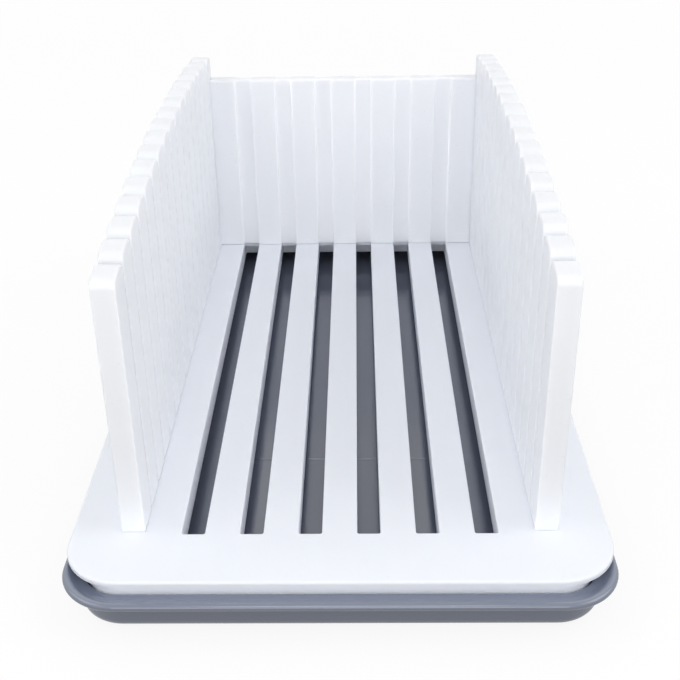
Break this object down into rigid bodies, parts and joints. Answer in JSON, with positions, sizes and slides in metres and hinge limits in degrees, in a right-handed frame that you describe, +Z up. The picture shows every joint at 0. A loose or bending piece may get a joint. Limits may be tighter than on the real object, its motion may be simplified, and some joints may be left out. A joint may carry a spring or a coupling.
{
  "type": "bread slicer guide",
  "caption": "Slotted bread board over a crumb tray, with two plug-in comb walls and an end panel that guide a knife through a loaf.",
  "frame": {"origin": "middle of the tray, on the surface that the feet stand on", "axes": "+Z up, +Y from the open front to the end panel, +X to the right seen from the front"},
  "size_m": [0.184, 0.3168, 0.1246],
  "materials": {
    "tray_plastic": "satin moulded plastic, cool grey",
    "board_plastic": "satin moulded plastic, cool white",
    "wall_plastic": "fine-grained moulded plastic, cool white",
    "foot_rubber": "soft matt rubber, grey"
  },
  "bodies": {
    "tray": {"crumb_tray": "tray_plastic", "front_left_foot": "foot_rubber", "front_right_foot": "foot_rubber", "rear_left_foot": "foot_rubber", "rear_right_foot": "foot_rubber"},
    "board": {"slotted_board": "board_plastic"},
    "left_wall": {"left_comb": "wall_plastic"},
    "right_wall": {"right_comb": "wall_plastic"},
    "end_stop": {"back_panel": "wall_plastic"}
  },
  "joints": [
    {"name": "board_lift", "type": "slide", "parent": "tray", "child": "board", "axis": [0, 0, 1], "range_m": [0, 0.05]},
    {"name": "left_wall_lift", "type": "slide", "parent": "board", "child": "left_wall", "axis": [0, 0, 1], "range_m": [0, 0.04]},
    {"name": "right_wall_lift", "type": "slide", "parent": "board", "child": "right_wall", "axis": [0, 0, 1], "range_m": [0, 0.04]},
    {"name": "end_stop_lift", "type": "slide", "parent": "board", "child": "end_stop", "axis": [0, 0, 1], "range_m": [0, 0.04]}
  ]
}
